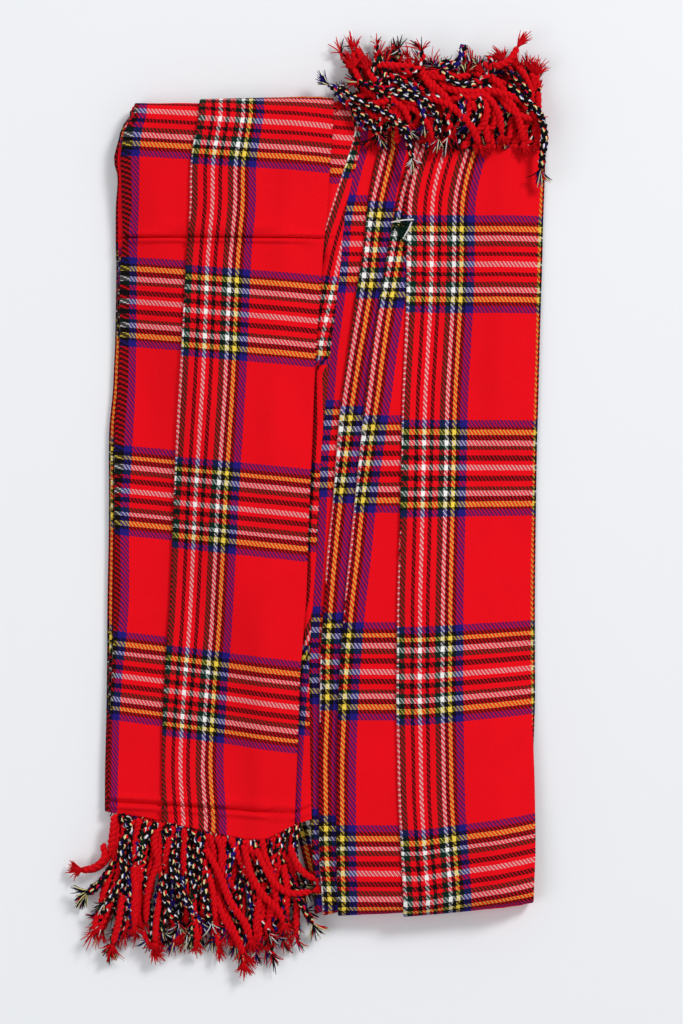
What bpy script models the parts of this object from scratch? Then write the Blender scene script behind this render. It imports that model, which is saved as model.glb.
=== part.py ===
"""Tartan fly plaid, pleated lengthwise, folded end over end and laid flat.

The cloth is one pleated length. It runs down the right panel, turns under at the bottom,
passes slantwise beneath both panels, turns back at the top and runs down the left panel.
Layout tables are in drawing units, x to the right and y down, as seen from above.
"""

import math

import bmesh
import bpy

# Driving dimensions in metres
drawing_unit = 0.0006
cloth_thickness = 0.001
layer_pitch = 0.0013
fold_nose = 0.0004
edge_gap = 0.0006
backing_width = 0.0024
strand_height = 0.0022
strand_row_gap = 0.0005
strand_width = 0.0040
strand_neck = 0.0028
tuft_width = 0.0046
tuft_height = 0.0014

# Centre of the layout in drawing units
centre_x = 311.8
centre_y = 503.6

# Fold lines of the right panel: y, left folds of pleats 4 to 1, right folds of pleats 1 and 0
right_panel = (
    (147, 360, 378, 408, 424, 540, 546),
    (190, 351, 371, 400, 408, 538, 543),
    (240, 343, 362, 390, 405, 537, 543),
    (300, 336, 353, 381, 408, 534, 540),
    (400, 324, 343, 367, 404, 533, 538),
    (500, 318, 336, 358, 402, 532, 537),
    (600, 312, 328, 351, 399, 530, 535),
    (700, 310, 322, 342, 398, 530, 535),
    (800, 312, 323, 340, 400, 531, 536),
    (905, 316, 327, 342, 405, 532, 537),
)

# Fold lines of the left panel, with the same columns
left_panel = (
    (98, 121, 124.5, 128, 201, 332, 345),
    (145, 115, 118.5, 122, 193, 326, 349),
    (200, 117, 120.5, 124, 192, 325, 342),
    (260, 117, 120.5, 124, 188, 320, 333),
    (350, 114, 117.5, 121, 183, 314, 324),
    (430, 110, 113.5, 117, 178, 310, 316),
    (500, 109, 112.5, 116, 175, 307, 312),
    (600, 108, 112, 116, 171, 302, 307),
    (700, 107, 111.5, 116, 164, 298, 304),
    (760, 106, 110.5, 115, 163, 293, 305),
    (820, 106, 110, 114, 163, 291, 305),
)

# Outermost line of each cross fold and of each cloth end: x, y
bottom_fold = ((316, 917), (410, 918), (470, 912), (537, 905))
top_fold = ((120, 107), (130, 102), (201, 98), (345, 95))
right_end = ((356, 128), (412, 129), (426, 145), (546, 148))
left_end = ((106, 813), (150, 820), (190, 829), (244, 840), (266, 840), (305, 820))

# Sampling of the length: heights y in the panels and steps in the turns and the slant
right_rows = (147, 190, 240, 300, 375, 460, 550, 640, 730, 820, 905)
left_rows = (98, 145, 200, 260, 330, 410, 500, 590, 680, 760, 820)
turn_steps = 4
slant_steps = 4

# Lengthwise lines that all layers share, as a share of the width of pleat 1
line_names = (
    "left4", "left3", "left2", "middle2", "left1", "deep7", "deep9", "deep3", "deep5",
    "right1", "right0",
)
deep_shares = {"deep7": 0.32, "deep9": 0.58, "deep3": 0.73, "deep5": 0.86}

# Runs of the section in the order they follow the cloth: number, start line, end line
runs = (
    (1, "deep5", "left4"),
    (2, "left4", "deep3"),
    (3, "deep3", "left3"),
    (4, "left3", "deep5"),
    (5, "deep5", "left2"),
    (6, "left2", "deep7"),
    (7, "deep7", "left1"),
    (8, "left1", "right1"),
    (9, "right1", "deep9"),
    (10, "deep9", "right0"),
    (11, "right0", "deep3"),
)
stack_order = (1, 2, 3, 4, 5, 6, 7, 11, 10, 9, 8)

# Height in layers of the slanting stack at each line, and of what rides over it
bottom_levels = (1.5, 3, 5, 6, 7, 7, 7, 8, 6, 3.4, 2.4)
top_levels = (4, 4.5, 5, 6, 7, 7, 7, 8, 6, 3.4, 2.4)
ride_levels = {"left2": 7.6, "left1": 9.2, "deep9": 9.4, "deep3": 9.6}
ride_reach = 62

# Fringe rows from the floor up: tip x at the left and right end, tip y, sway, bend power
lower_rows = (
    (82, 296, 948, 3.0, 1.2),
    (90, 292, 958, -4.0, 1.5),
    (74, 298, 936, 4.0, 1.1),
)
upper_rows = (
    (336, 545, 56, 4.0, 1.8),
    (344, 540, 50, -5.0, 1.6),
    (328, 536, 70, 6.0, 2.0),
)
strands_per_row = 20
strand_steps = 4


def between(a, b, share):
    return a + (b - a) * share


def eased(share):
    share = min(1.0, max(0.0, share))
    return share * share * (3 - 2 * share)


def look_up(table, key, column):
    """Straight interpolation of one column of a table whose first column rises."""
    if key <= table[0][0]:
        return table[0][column]
    for before, after in zip(table, table[1:]):
        if key <= after[0]:
            share = (key - before[0]) / (after[0] - before[0])
            return between(before[column], after[column], share)
    return table[-1][column]


def lines_at(table, y):
    """Positions across the layout of all shared lines at one height of a panel."""
    left4, left3, left2, left1, right1, right0 = [look_up(table, y, c) for c in range(1, 7)]
    found = {
        "left4": left4,
        "left3": left3,
        "left2": left2,
        "middle2": (left2 + left1) / 2,
        "left1": left1,
        "right1": right1,
        "right0": right0,
    }
    for name, share in deep_shares.items():
        found[name] = between(left1, right1, share)
    return [found[name] for name in line_names]


bottom_lines = lines_at(right_panel, 905)
top_lines = lines_at(left_panel, 98)


def end_outline(table, ends, y):
    """The straight-sided outline that a cloth end has between its shared lines."""
    return [(x, look_up(ends, x, 1)) for x in lines_at(table, y)]


def slant_lines(y):
    share = (905 - y) / (905 - 98)
    share = min(1.0, max(0.0, share))
    return [between(a, b, share) for a, b in zip(bottom_lines, top_lines)]


def ride_height(x, y):
    """Height above the floor of the lowest layer of a panel, in layers."""
    at = dict(zip(line_names, slant_lines(y)))
    knots = [at[name] for name in ride_levels]
    levels = list(ride_levels.values())
    if x <= knots[0]:
        start = at["left4"] - ride_reach
        return levels[0] * eased((x - start) / (knots[0] - start))
    if x >= knots[-1]:
        stop = at["right0"] + ride_reach
        return levels[-1] * eased((stop - x) / (stop - knots[-1]))
    for index in range(len(knots) - 1):
        if x <= knots[index + 1]:
            share = (x - knots[index]) / (knots[index + 1] - knots[index])
            return between(levels[index], levels[index + 1], share)
    return 0.0


def cover(number, line):
    """Share of one layer that a run adds beneath whatever lies on it at a shared line."""
    ends = [line_names.index(name) for name in runs[number - 1][1:]]
    outside = max(min(ends) - line, line - max(ends), 0)
    return max(0.0, 1.0 - outside)


def level(number, line):
    """How many layers lie beneath a run at a shared line."""
    place = stack_order.index(number)
    return sum(cover(below, line) for below in stack_order[:place])


def section_columns():
    """The folded section as (line, sideways offset, level), with a nose at each fold."""
    columns = []
    for number, start, end in runs:
        first = line_names.index(start)
        last = line_names.index(end)
        step = 1 if last > first else -1
        for line in range(first, last + step, step):
            columns.append((line, 0.0, level(number, line)))
        if number < len(runs):
            height = (level(number, last) + level(number + 1, last)) / 2
            columns.append((last, step * fold_nose, height))
    return columns


def turn_shape(line, x, y, levels):
    """Centre height and inner radius of a cross fold at one shared line, in metres."""
    low = cloth_thickness / 2 + levels[line] * layer_pitch
    high = cloth_thickness / 2 + ride_height(x, y) * layer_pitch
    return (low + high) / 2, (high - low) / 2


def turn_axis(line, x, y, levels, outward):
    """Height y of the axis that a cross fold turns about."""
    inner = turn_shape(line, x, y, levels)[1]
    reach = inner + levels[line] * layer_pitch + cloth_thickness / 2
    return y - outward * reach / drawing_unit


bottom_axis = []
top_axis = []
for line, x in enumerate(bottom_lines):
    bottom_axis.append(turn_axis(line, x, look_up(bottom_fold, x, 1), bottom_levels, 1))
for line, x in enumerate(top_lines):
    top_axis.append(turn_axis(line, x, look_up(top_fold, x, 1), top_levels, -1))


def panel_station(table, ends, axis, y, first, last):
    """One station of a panel, as (x, y, floor height, rising height per layer) per line."""
    share = (y - first) / (last - first)
    station = []
    for line, x in enumerate(lines_at(table, y)):
        start = look_up(ends, x, 1)
        along = between(start, axis[line], share)
        rest = cloth_thickness / 2 + ride_height(x, along) * layer_pitch
        station.append((x, along, rest, layer_pitch, 0.0))
    return station


def turn_station(lines, axis, fold, levels, outward, angle):
    station = []
    for line, x in enumerate(lines):
        centre, inner = turn_shape(line, x, look_up(fold, x, 1), levels)
        swing = outward * math.sin(angle) / drawing_unit
        station.append(
            (
                x,
                axis[line] + inner * swing,
                centre + inner * math.cos(angle),
                layer_pitch * math.cos(angle),
                layer_pitch * swing,
            )
        )
    return station


def slant_station(share):
    station = []
    for line in range(len(line_names)):
        x = between(bottom_lines[line], top_lines[line], share)
        along = between(bottom_axis[line], top_axis[line], share)
        height = between(bottom_levels[line], top_levels[line], share)
        rest = cloth_thickness / 2 + height * layer_pitch
        station.append((x, along, rest, -layer_pitch, 0.0))
    return station


def all_stations():
    """Every station along the cloth from the right panel's end to the left panel's end."""
    stations = []
    for y in right_rows:
        stations.append(panel_station(right_panel, right_end, bottom_axis, y, 147, 905))
    for step in range(1, turn_steps):
        angle = math.pi * step / turn_steps
        stations.append(
            turn_station(bottom_lines, bottom_axis, bottom_fold, bottom_levels, 1, angle)
        )
    for step in range(slant_steps + 1):
        stations.append(slant_station(step / slant_steps))
    for step in range(1, turn_steps):
        angle = math.pi * (1 - step / turn_steps)
        stations.append(turn_station(top_lines, top_axis, top_fold, top_levels, -1, angle))
    for y in left_rows:
        stations.append(panel_station(left_panel, left_end, top_axis, y, 820, 98))
    return stations


def world_point(x, y, z):
    return ((x - centre_x) * drawing_unit, (centre_y - y) * drawing_unit, z)


def add_object(name, mesh_data, color, roughness):
    material = bpy.data.materials.new(name)
    material.use_nodes = True
    shader = material.node_tree.nodes["Principled BSDF"]
    shader.inputs["Base Color"].default_value = color
    shader.inputs["Roughness"].default_value = roughness
    mesh_data.materials.append(material)
    made = bpy.data.objects.new(name, mesh_data)
    collection.objects.link(made)
    return made


def make_cloth():
    columns = section_columns()
    stations = all_stations()
    shape = bmesh.new()
    grid = []
    for station in stations:
        row = []
        for line, offset, height in columns:
            x, y, rest, rise, reach = station[line]
            point = world_point(x, y + reach * height, rest + rise * height)
            row.append(shape.verts.new((point[0] + offset, point[1], point[2])))
        grid.append(row)
    for near, far in zip(grid, grid[1:]):
        for left in range(len(columns) - 1):
            right = left + 1
            a, b, c, d = near[left], near[right], far[right], far[left]
            # All layers split their quads the same way as seen from above.
            if a.co.x <= b.co.x:
                shape.faces.new((a, b, c))
                shape.faces.new((a, c, d))
            else:
                shape.faces.new((a, b, d))
                shape.faces.new((b, c, d))
    mesh_data = bpy.data.meshes.new("cloth")
    shape.to_mesh(mesh_data)
    shape.free()
    cloth = add_object("cloth", mesh_data, (0.62, 0.012, 0.016, 1), 0.85)
    wall = cloth.modifiers.new("wall", "SOLIDIFY")
    wall.thickness = cloth_thickness
    wall.offset = 0.0
    wall.use_even_offset = False


def strand_path(root, tip, sway, power):
    """Centre line of one strand in drawing units, swaying on its way to the tip."""
    points = []
    for step in range(1, strand_steps + 1):
        share = step / strand_steps
        drift = (tip[0] - root[0]) * share ** power
        wave = sway * math.sin(2.2 * math.pi * share) * share
        points.append((root[0] + drift + wave, between(root[1], tip[1], share)))
    return points


def make_fringe(name, end_line, first_x, last_x, rows, upward):
    """A backing strip beside a cloth end with rows of strands grown out of its far face."""
    shape = bmesh.new()
    side = -1 if upward else 1
    gap = edge_gap / drawing_unit
    depth = backing_width / drawing_unit
    half = strand_width / drawing_unit / 2
    spacing = (last_x - first_x) / strands_per_row
    cuts = [first_x]
    for index in range(strands_per_row):
        middle = first_x + spacing * (index + 0.5)
        cuts += [middle - half, middle + half]
    cuts.append(last_x)
    levels = []
    for row in range(len(rows)):
        levels += [row * (strand_height + strand_row_gap)]
        levels += [levels[-1] + strand_height]
    front = []
    back = []
    for x in cuts:
        near = look_up(end_line, x, 1) + side * gap
        far = near + side * depth
        front.append([shape.verts.new(world_point(x, far, z)) for z in levels])
        back.append([shape.verts.new(world_point(x, near, z)) for z in (levels[0], levels[-1])])
    for index in range(len(cuts) - 1):
        for row in range(len(levels) - 1):
            quad = (
                front[index][row],
                front[index + 1][row],
                front[index + 1][row + 1],
                front[index][row + 1],
            )
            if index % 2 == 0 or row % 2 == 1:
                shape.faces.new(quad)
                continue
            column = index // 2
            left_tip, right_tip, tip_y, sway, power = rows[row // 2]
            share = column / (strands_per_row - 1)
            root_x = (cuts[index] + cuts[index + 1]) / 2
            root_y = look_up(end_line, root_x, 1) + side * (gap + depth)
            ragged = 9 * math.sin(2.4 * column + 1.7 * row)
            tip = (between(left_tip, right_tip, share), tip_y + side * ragged)
            path = strand_path((root_x, root_y), tip, sway, power)
            last = list(quad)
            before = (root_x, root_y)
            for step, point in enumerate(path):
                after = path[min(step + 1, len(path) - 1)]
                run_x, run_y = after[0] - before[0], after[1] - before[1]
                length = math.hypot(run_x, run_y)
                across = (side * run_y / length, -side * run_x / length)
                width = strand_width
                height = strand_height
                if step == len(path) - 2:
                    width = strand_neck
                if step == len(path) - 1:
                    width = tuft_width
                    height = tuft_height
                reach = width / drawing_unit / 2
                low = levels[row]
                ring = []
                for sign, z in ((-1, low), (1, low), (1, low + height), (-1, low + height)):
                    x = point[0] + sign * across[0] * reach
                    y = point[1] + sign * across[1] * reach
                    ring.append(shape.verts.new(world_point(x, y, z)))
                for corner in range(4):
                    following = (corner + 1) % 4
                    shape.faces.new((last[corner], last[following], ring[following], ring[corner]))
                last = ring
                before = point
            shape.faces.new(last)
        shape.faces.new((front[index][0], front[index + 1][0], back[index + 1][0], back[index][0]))
        shape.faces.new((front[index][-1], front[index + 1][-1], back[index + 1][1], back[index][1]))
        shape.faces.new((back[index][0], back[index + 1][0], back[index + 1][1], back[index][1]))
    for index in (0, -1):
        shape.faces.new(front[index] + [back[index][1], back[index][0]])
    bmesh.ops.recalc_face_normals(shape, faces=shape.faces)
    mesh_data = bpy.data.meshes.new(name)
    shape.to_mesh(mesh_data)
    shape.free()
    add_object(name, mesh_data, (0.45, 0.014, 0.02, 1), 0.9)


for old in list(bpy.data.objects):
    bpy.data.objects.remove(old)
collection = bpy.data.collections.new("fly_plaid")
bpy.context.scene.collection.children.link(collection)

make_cloth()
upper_outline = end_outline(right_panel, right_end, 147)
lower_outline = end_outline(left_panel, left_end, 820)
make_fringe("fringe_upper", upper_outline, 362, 544, upper_rows, True)
make_fringe("fringe_lower", lower_outline, 107, 292, lower_rows, False)
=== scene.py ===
import math
import random

import bmesh
import bpy
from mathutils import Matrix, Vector


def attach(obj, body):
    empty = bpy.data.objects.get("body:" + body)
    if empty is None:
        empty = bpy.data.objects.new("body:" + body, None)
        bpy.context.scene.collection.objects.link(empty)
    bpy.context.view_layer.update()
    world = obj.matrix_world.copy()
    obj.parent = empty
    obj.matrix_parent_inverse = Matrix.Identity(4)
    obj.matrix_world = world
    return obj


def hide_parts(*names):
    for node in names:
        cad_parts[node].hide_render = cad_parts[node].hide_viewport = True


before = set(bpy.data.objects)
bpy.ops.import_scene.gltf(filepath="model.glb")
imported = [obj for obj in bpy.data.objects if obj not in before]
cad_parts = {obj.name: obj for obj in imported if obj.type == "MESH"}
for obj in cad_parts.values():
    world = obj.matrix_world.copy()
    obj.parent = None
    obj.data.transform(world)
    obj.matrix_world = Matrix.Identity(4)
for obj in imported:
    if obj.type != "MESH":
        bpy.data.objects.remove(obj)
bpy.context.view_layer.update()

# Lengths are in drawing units of 0.6 mm unless a name ends in M, then metres.
unitM = 0.0006
centreX, centreY = 311.8, 503.6
sheetM = 0.001  # thickness of the cloth
pitchM = 0.0013  # from one layer to the next
noseM = 0.00056  # how far a fold's nose stands out

# y, left folds of pleats 4 to 1, right folds of pleats 1 and 0, centre white stripe, then where
# the blue stripe of pleat 4 and the yellow stripes of pleats 3 and 2 run
rightPanel = (
    (147, 360.5, 380.5, 414, 424, 540.5, 545, 446, 364.5, 393, 425),
    (173, 354, 374.5, 406, 413, 540, 544.5, 438, 357.5, 387, 416),
    (200, 348, 370, 399, 406, 539, 543.5, 433, 351.5, 380.8, 409.2),
    (228, 343.3, 367, 393.5, 404, 537.5, 542.5, 432, 347, 377.2, 404),
    (253, 342, 364.5, 389, 408, 537, 542, 432, 345.5, 374.2, 399.5),
    (300, 337.4, 356.8, 381, 408, 536, 540.5, 430.6, 341, 368.6, 390.8),
    (350, 331, 349.8, 373, 406, 535, 539, 427.8, 334.5, 360.2, 383.1),
    (400, 326.5, 342.8, 366.5, 404, 533.5, 537.8, 425, 330.5, 352.5, 376.8),
    (450, 321.5, 338.4, 361.5, 403, 532.3, 536.4, 423.7, 325.5, 346.3, 369.4),
    (500, 319.5, 334.6, 356.5, 402, 531.6, 535.6, 422.5, 323.5, 340.3, 362.7),
    (550, 317, 329.2, 351.5, 400.5, 530.5, 535, 421.2, 321, 335.4, 357.8),
    (600, 313.5, 325.8, 346.5, 399, 530, 534.5, 420, 317.4, 331, 352.2),
    (650, 309.8, 322.3, 342.5, 398.5, 530, 534.5, 419.7, 315.2, 327.8, 347.6),
    (700, 310, 321.5, 340, 398, 530.5, 534.5, 419.6, 316.5, 327.3, 344.4),
    (760, 310.5, 320.2, 338.3, 399, 533, 532.5, 420.7, 317.3, 325.3, 342.1),
    (800, 311.5, 320.3, 338, 400, 534, 532, 421.5, 317, 325.6, 342),
    (860, 314, 321, 338, 403, 534.3, 532, 425, 319, 326.5, 342.3),
    (905, 316, 324, 339.5, 405, 532.5, 531, 428, 322, 330, 343.5),
)
# The same folds, then where the blue stripe of pleat 2 begins, the warp position at the fold of
# pleat 3, the centre white stripe of the layer beside pleat 1, and the edge of the strip on it
leftPanel = (
    (98, 131, 133, 135.5, 201, 332, 356, 221, 140, 50, 386, 349),
    (110, 123, 125, 127.5, 199, 331.5, 358, 219, 136, 50, 382.5, 352),
    (125, 119.5, 121.5, 124, 196, 331, 359, 216.8, 134.3, 50, 377.2, 354.6),
    (150, 114.5, 118.5, 121.5, 193, 329, 359, 213.8, 133, 50, 371.2, 348.6),
    (172, 118.3, 120.2, 122.3, 192, 328, 353.4, 213, 132.8, 50, 364.8, 342.2),
    (205, 116.4, 119, 122.7, 191.7, 326.5, 346.2, 212.8, 132.4, 50, 354.5, 331.8),
    (240, 116, 119, 123.4, 189.3, 322.5, 342, 209.7, 131, 50, 343.5, 321.7),
    (268, 116.5, 118.5, 120.8, 187.5, 320.5, 339.6, 207.6, 130, 38, 337, 319.7),
    (345, 115.3, 117, 120.3, 183.3, 314.8, 330.8, 204.7, 129, 31, 320.8, 314),
    (358, 114.7, 116.4, 119.9, 182.5, 314.1, 329.6, 204.1, 128.7, 31, 319.5, 313.3),
    (368, 114.2, 116, 119.7, 181.9, 313.6, 328.7, 203.6, 128.5, 31, 308.5, 312.8),
    (390, 113.2, 115, 119, 180.5, 312.5, 326.7, 202.5, 128, 31, 307.5, 311.7),
    (430, 109.5, 111.5, 115.5, 178, 311, 322.8, 200, 125.9, 31, 307.6, 310.2),
    (500, 109.2, 111, 115, 175, 308, 318.7, 195.5, 122, 31, 303.4, 307.2),
    (534, 109, 111, 115.4, 173.6, 306.7, 317.2, 193.8, 121.6, 31, 301.3, 305.9),
    (600, 107.7, 110, 114.8, 171, 304.5, 312.8, 190.5, 121.5, 31, 299.5, 303.7),
    (640, 107.4, 109.8, 113.5, 168, 301.5, 310.5, 188, 118.6, 31, 285, 300.7),
    (667, 107.2, 109.5, 112.5, 166.3, 299, 309, 185.6, 115.4, 33, 268, 298.2),
    (720, 106.5, 108.3, 110.5, 163.7, 297, 309.3, 181.8, 112, 35, 262, 296.2),
    (771, 105.3, 106.8, 108.6, 163, 295, 310, 180, 110.6, 35.4, 259, 294.2),
    (820, 105, 106.5, 108.4, 163, 293, 311, 183, 109.8, 35.4, 257, 292.2),
)

# Outermost line of each cross fold and of each cloth end: x, y
bottomFold = ((316, 917), (410, 918), (470, 912), (537, 905))
topFold = ((120, 107), (130, 102), (201, 98), (345, 95))
rightEnd = ((356, 128), (412, 129), (426, 145), (546, 148))
leftEnd = ((106, 813), (150, 820), (190, 829), (244, 840), (266, 840), (305, 820))

# Where the panels begin and end
rightTop, rightBottom = 147, 905
leftTop, leftBottom = 98, 820

# Weft position at the reference x of each panel, with the slope of its rows: y, weft, slope
rightWeft = ((60, -199, 0), (263.5, 0, 0), (468, 200, 0), (676, 400, -0.07), (878, 600, -0.16),
             (960, 681, -0.18))
leftWeft = ((28, 1502, 0.05), (123, 1600, 0.06), (318, 1800, 0.085), (512, 2000, 0.1),
            (705, 2200, 0.13), (900, 2402, 0.15))
rightReference, leftReference = 420, 275
slantWeft = (690, 1520)
# How far the weave of a run has slipped past that of the topmost one, by run number or by y
pleatSteps = {6: 4.5, 4: 14, 2: 20}
stripStep = -9.7
sideSteps = ((270, 4.5), (470, 6.5), (690, 8.8))
layerSteps = ((133, -5), (320, 2.4), (507, 8), (690, 19))

# Stripes across the warp and the weft, from the middle of the white one to the red ground
stripeOrder = "WRKRGWKYKBR"
warpEdges = (1.9, 5.3, 9.4, 14.6, 20.6, 24.4, 27.9, 31.7, 35.6, 43.2)
weftEdges = (2.7, 7.4, 12.5, 17.5, 22.0, 27.1, 32.3, 37.3, 41.0, 47.5)
warpHalf, weftHalf = 94.0, 100.0  # half a repeat
warpRepeat = 188
yellowMiddle, blueStart, blueMiddle = 29.8, 35.6, 39.5
widened = 0.96  # the folded stripes lie a little wider than the flat ones
leftRim, rightRim, stripShift = -531, 220.3, 90  # warp positions at the outer folds and the strip

lineNames = ("left4", "left3", "left2", "middle2", "left1", "deep7", "deep9", "deep3", "deep5",
             "right1", "edge0", "right0")
deepShares = {"deep7": 0.32, "deep9": 0.58, "deep3": 0.73, "deep5": 0.86}
# Runs of the folded section from its first line on: end line, spacing of its columns
firstLine = "deep5"
runEnds = (("left4", 14), ("deep3", 9), ("left3", 14), ("deep5", 9), ("left2", 14), ("deep7", 6),
           ("left1", 14), ("right1", 6), ("deep9", 10), ("right0", 7), ("deep3", 12))
corners = [lineNames.index(name) for name in [firstLine] + [end for end, spacing in runEnds]]
stackOrder = (1, 2, 3, 4, 5, 6, 7, 11, 10, 9, 8)
# Height of the slanting stack in layers at each line, by the bottom fold and by the top fold, and
# the height that the panels ride at where they cross it
bottomLevels = (1.5, 3, 5, 6, 7, 7, 7, 8, 6, 3.4, 2.9, 2.4)
topLevels = (4, 4.5, 5, 6, 7, 7, 7, 8, 6, 3.4, 2.9, 2.4)
rideLevels = {"left2": 7.6, "left1": 9.2, "deep9": 9.4, "deep3": 9.6}
rideReach = 62


def between(a, b, share):
    return a + (b - a) * share


def eased(share):
    share = min(1.0, max(0.0, share))
    return share * share * (3 - 2 * share)


def lookUp(table, key, column):
    if key <= table[0][0]:
        return table[0][column]
    for before, after in zip(table, table[1:]):
        if key <= after[0]:
            return between(before[column], after[column],
                           (key - before[0]) / (after[0] - before[0]))
    return table[-1][column]


# Cubic curve through one column of a table
def smoothLook(table, key, column):
    if key <= table[0][0]:
        return table[0][column]
    if key >= table[-1][0]:
        return table[-1][column]
    index = max(i for i in range(len(table) - 1) if table[i][0] <= key)
    near, far = table[index], table[index + 1]
    gap = far[0] - near[0]

    def slope(i):
        low, high = table[max(i - 1, 0)], table[min(i + 1, len(table) - 1)]
        return (high[column] - low[column]) / (high[0] - low[0])

    t = (key - near[0]) / gap
    return ((2 * t**3 - 3 * t**2 + 1) * near[column] + (t**3 - 2 * t**2 + t) * gap * slope(index)
            + (3 * t**2 - 2 * t**3) * far[column] + (t**3 - t**2) * gap * slope(index + 1))


def linesAt(table, y):
    left4, left3, left2, left1, right1, right0 = [smoothLook(table, y, c) for c in range(1, 7)]
    edge0 = smoothLook(table, y, 11) if table is leftPanel else (right1 + right0) / 2
    found = {"left4": left4, "left3": left3, "left2": left2, "middle2": (left2 + left1) / 2,
             "left1": left1, "right1": right1, "edge0": edge0, "right0": right0}
    for name, share in deepShares.items():
        found[name] = between(left1, right1, share)
    return [found[name] for name in lineNames]


bottomLines = linesAt(rightPanel, rightBottom)
topLines = linesAt(leftPanel, leftTop)


def slantLines(y):
    share = min(1.0, max(0.0, (rightBottom - y) / (rightBottom - leftTop)))
    return [between(a, b, share) for a, b in zip(bottomLines, topLines)]


# Height in layers of the lowest layer of a panel, where it lies over the slanting stack
def rideHeight(x, y):
    at = dict(zip(lineNames, slantLines(y)))
    knots = [(at["left4"] - rideReach, 0)]
    knots += [(at[name], height) for name, height in rideLevels.items()]
    knots += [(at["right0"] + rideReach, 0)]
    for (x0, low), (x1, high) in zip(knots, knots[1:]):
        if x <= x1:
            return between(low, high, eased((x - x0) / (x1 - x0)))
    return 0.0


# Layers that lie below a run at one of the lines
def level(number, line):
    total = 0.0
    for below in stackOrder[:stackOrder.index(number)]:
        ends = corners[below - 1:below + 1]
        total += max(0.0, 1.0 - max(min(ends) - line, line - max(ends), 0))
    return total


# A value between the shared lines, at a place such as 3.25
def onLines(values, place, ease=False):
    index = min(int(place), len(values) - 2)
    share = place - index
    return between(values[index], values[index + 1], eased(share) if ease else share)


# Columns of the section: place among the lines, sideways offset, level, run
def makeColumns():
    columns = []
    widths = linesAt(rightPanel, 600)
    for number, (end, spacing) in enumerate(runEnds, 1):
        levels = [level(number, line) for line in range(len(lineNames))]
        first, last = corners[number - 1:number + 1]
        step = 1 if last > first else -1
        places = [first]
        for line in range(first, last, step):
            width = abs(widths[line + step] - widths[line])
            count = max(1, round(width / spacing))
            places += [line + step * (i + 1) / count for i in range(count)]
            if number == 10 and lineNames[line + 1] == "edge0":
                places.append(line + 1.03)  # a sharp edge of the strip
        columns += [(place, 0.0, onLines(levels, place, True), number) for place in places]
        if number < len(runEnds):
            low, high = level(number, last), level(number + 1, last)
            for angle in (45, 90, 135):
                turn = math.radians(angle)
                columns.append((last, step * noseM * math.sin(turn),
                                between(low, high, (1 - math.cos(turn)) / 2),
                                number if angle <= 90 else number + 1))
    return columns


def turnShape(place, x, y, levels):
    low = sheetM / 2 + onLines(levels, place, True) * pitchM
    high = sheetM / 2 + rideHeight(x, y) * pitchM
    return (low + high) / 2, (high - low) / 2


def foldAxis(place, x, fold, levels, outward):
    y = lookUp(fold, x, 1)
    inner = turnShape(place, x, y, levels)[1]
    reach = inner + onLines(levels, place, True) * pitchM + sheetM / 2
    return y - outward * reach / unitM


# Long soft waves of the lying cloth: across, along, phase, height
waves = ((0.021, 0.009, 0.4, 0.00022), (-0.013, 0.017, 2.1, 0.00018), (0.034, -0.006, 4.0, 0.0001))
# Cross creases: panel side, x and y at both ends, width, depth
creases = (
    ("left", 118, 236.5, 326, 238.5, 1.6, 0.0027),
    ("left", 106, 802, 300, 814, 2.3, 0.0026),
    ("left", 119, 150, 200, 146, 5.0, 0.0004),
    ("right", 400, 296, 536, 290, 7.0, 0.0003),
)
creaseShape = {"past the ends": 0.03, "fade": 0.08, "ridge": 0.8, "ridge place": 1.9,
               "ridge spread": 1.2}
pucker = {"x": 404, "y": 229, "rays": 5, "ring": 15, "ring spread": 70, "ring height": 0.0011,
          "dip spread": 60, "dip depth": 0.0007}


# Lift of every layer at once: waves, press creases and the pucker round the tack
def relief(side, x, y):
    lift = sum(size * (1 + math.sin(a * x + b * y + phase)) for a, b, phase, size in waves)
    past, fade, ridge, ridgePlace, spread = creaseShape.values()
    for where, x0, y0, x1, y1, width, depth in creases:
        if where != side:
            continue
        share = (x - x0) / (x1 - x0)
        shown = eased((share + past) / fade) * eased((1 + past - share) / fade)
        away = (y - between(y0, y1, share)) / width
        edges = ridge * math.exp(-(abs(away) - ridgePlace)**2 / spread)
        lift += depth * shown * (edges - math.exp(-away**2))
    if side == "right":
        middleX, middleY, rays, ring, ringSpread, ringHeight, dipSpread, dip = pucker.values()
        dx, dy = x - middleX, y - middleY
        far = math.hypot(dx, dy)
        star = 0.5 + 0.5 * math.cos(rays * math.atan2(dy, dx))
        lift += ringHeight * math.exp(-(far - ring)**2 / ringSpread) * star
        lift -= dip * math.exp(-far**2 / dipSpread)
    return lift


columns = makeColumns()
# Rows lie closer at the two deep creases and near the cut edges
rightRows = [rightTop, 149, 152] + [157 + 8.9 * i for i in range(84)] + [rightBottom]
leftRows = [leftTop + 8.3 * i for i in range(14)] + [217] + [219 + 1.1 * i for i in range(12)]
leftRows += [234.5 + 8.3 * i for i in range(67)] + [788 + 1.5 * i for i in range(20)]
leftRows += [818.5, leftBottom]
turnSteps, slantSteps = 9, 12


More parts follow.
